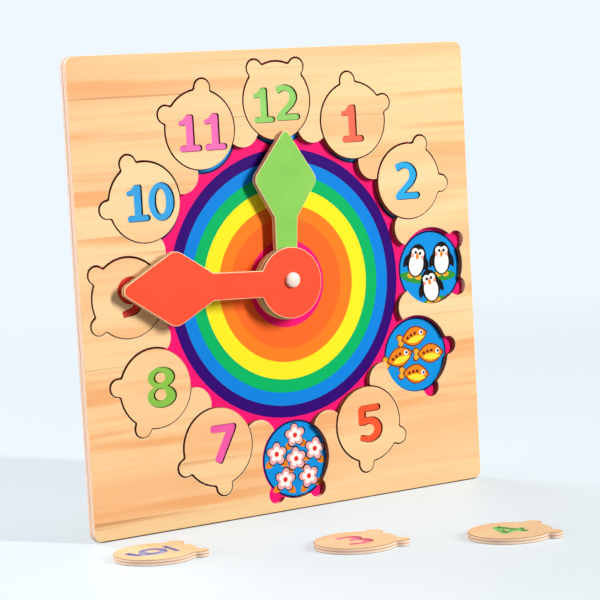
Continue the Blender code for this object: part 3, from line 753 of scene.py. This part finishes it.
def patch(work, ink_layer, outline, ink, place, layer, corners=SPOT_CORNERS):
    """One flat patch of ink, facing the viewer, on the print under it."""
    made = bmesh.ops.create_circle(work, cap_ends=True, segments=corners, radius=1)["verts"]
    for corner in made:
        x, z = OUTLINES[outline](atan2(corner.co.x, corner.co.y))
        corner.co = (x, 0, z)
    bmesh.ops.transform(work, matrix=place, verts=made)
    bmesh.ops.translate(work, vec=(0, print_face - layer * INK_STEP, 0), verts=made)
    face = made[0].link_faces[0]
    face.normal_update()
    if face.normal.y > 0:
        face.normal_flip()
    for loop in face.loops:
        loop[ink_layer] = colour(INKS[ink])


def placed(x, z, size, lean=0.0):
    """A matrix that turns and scales a unit drawing and sets it on the print."""
    return Matrix.Translation((x, 0, z)) @ Matrix.Rotation(lean, 4, "Y") @ Matrix.Diagonal(
        (size, 1, size, 1))


def picture(number):
    """The round picture in one pocket."""
    work = bmesh.new()
    ink_layer = work.loops.layers.float_color.new("ink")
    clock = number * pi / 6
    ring = PICTURE_RING + PICTURE_OUTWARD.get(number, 0) * MM
    x = PRINT_CENTRE.x + ring * sin(clock)
    z = PRINT_CENTRE.z + ring * cos(clock)
    patch(work, ink_layer, "disc", "navy", placed(x, z, PICTURE_RADIUS), 1,
          DISC_CORNERS)
    patch(work, ink_layer, "disc", "sky", placed(x, z, PICTURE_RADIUS - PICTURE_LINE), 2,
          DISC_CORNERS)
    inner, outer, inner_reach, outer_reach, size = LAYOUTS[number]
    for count, reach in ((inner, inner_reach * MM), (outer, outer_reach * MM)):
        for i in range(count):
            turn = 2 * pi * (i + 0.5 * (number % 2)) / count
            lean = 0.25 * sin(2.4 * i + number)
            spread = placed(x + reach * sin(turn), z + reach * cos(turn), size * MM, lean)
            for layer, (outline, ink, local) in enumerate(MOTIFS[number], 3):
                patch(work, ink_layer, outline, ink, spread @ local, layer)
    mesh = bpy.data.meshes.new(f"picture_{number}")
    work.to_mesh(mesh)
    work.free()
    mesh.materials.append(ink_finish)
    made = bpy.data.objects.new(f"picture_{number}", mesh)
    bpy.context.scene.collection.objects.link(made)
    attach(made, "board")


for number in MOTIFS:
    picture(number)
print("printed", len(MOTIFS), "pictures")

# %% [markdown]
# A pale, seamless table. It fades into the same pale tone as the surroundings far from
# the object, so no horizon shows in the picture. A large disc is enough, because the fade
# is a mix of the table's own finish and a plain glow by distance.

# %% Ground
BACKDROP = "#EFF7FF"
GROUND_RADIUS = 12
FADE_START, FADE_END = 0.35, 1.4
ground_work = bmesh.new()
bmesh.ops.create_circle(ground_work, cap_ends=True, segments=96, radius=GROUND_RADIUS)
ground_mesh = bpy.data.meshes.new("ground")
ground_work.to_mesh(ground_mesh)
ground_work.free()
ground = bpy.data.objects.new("ground", ground_mesh)
bpy.context.scene.collection.objects.link(ground)
white_table, tree, shader = finish("white_table", 0.45)
shader.inputs["Base Color"].default_value = colour("#EAF8FB")
glow = add(tree, "Emission", Color=colour(BACKDROP), Strength=1.0)
where = add(tree, "TexCoord")
away = add(tree, "VectorMath", {0: where.outputs["Object"]}, operation="LENGTH")
fade = add(tree, "MapRange", {"Value": away.outputs["Value"]}, From_Min=FADE_START,
           From_Max=FADE_END, To_Min=0.5)
ray = add(tree, "LightPath")
shown = add(tree, "Math", {0: fade.outputs[0], 1: ray.outputs["Is Camera Ray"]},
            operation="MULTIPLY")
mixed = add(tree, "MixShader", {0: shown.outputs[0], 1: shader.outputs[0], 2: glow.outputs[0]})
# The object sees a darker table than the camera does, which keeps its shadows deep
dull = add(tree, "BsdfDiffuse", Color=colour("#8A8C90"))
seen = add(tree, "MixShader", {0: ray.outputs["Is Camera Ray"], 1: dull.outputs[0],
                               2: mixed.outputs[0]})
tree.links.new(seen.outputs[0], tree.nodes["Material Output"].inputs["Surface"])
ground_mesh.materials.append(white_table)
print("ground:", GROUND_RADIUS, "m, fades from", FADE_START, "to", FADE_END, "m")

# %% [markdown]
# Soft studio light. The surroundings look bright to the camera but hardly light the
# object, so the lamps alone shape it: a warm key from the front right, a wide low lamp
# from the left, a cool one from above and a large one for the back.

# %% Light
world = bpy.data.worlds.new("surroundings")
bpy.context.scene.world = world
world.use_nodes = True
tree = world.node_tree
dim = tree.nodes["Background"]
dim.inputs["Color"].default_value = colour(BACKDROP)
dim.inputs["Strength"].default_value = 0.03
bright = add(tree, "Background", Color=colour(BACKDROP), Strength=1.0)
ray = add(tree, "LightPath")
mixed = add(tree, "MixShader", {0: ray.outputs["Is Camera Ray"], 1: dim.outputs[0],
                                2: bright.outputs[0]})
tree.links.new(mixed.outputs[0], tree.nodes["World Output"].inputs["Surface"])
bpy.context.scene.view_settings.view_transform = "Standard"


def lamp(name, place, target, size, power, code):
    """A soft box, width by height, that shines at a target."""
    made = bpy.data.lights.new(name, "AREA")
    made.shape = "RECTANGLE"
    made.size, made.size_y = size
    made.energy = power
    made.color = colour(code)[:3]
    holder = bpy.data.objects.new(name, made)
    holder.location = place
    holder.rotation_euler = (Vector(target) - Vector(place)).to_track_quat("-Z", "Y").to_euler()
    bpy.context.scene.collection.objects.link(holder)
    print(name, power, "W")


# A tall narrow key: shadows are crisp to the side and soft below
lamp("key_light", (1.34, -2.3, 1.25), (0, 0, 0.15), (0.15, 1.3), 96, "#FFF8F0")
lamp("side_light", (-1.7, 0.2, 0.35), (0, 0.02, 0.12), (0.9, 0.9), 26, "#FFF4EE")
lamp("top_light", (0.1, -0.1, 1.9), (0, -0.1, 0), (1.0, 1.0), 12, "#F4F8FF")
# Keeps the backing board from going black
lamp("back_light", (-0.5, 2.2, 1.3), (0, 0, 0.15), (1.4, 1.4), 50, "#F4F8FF")
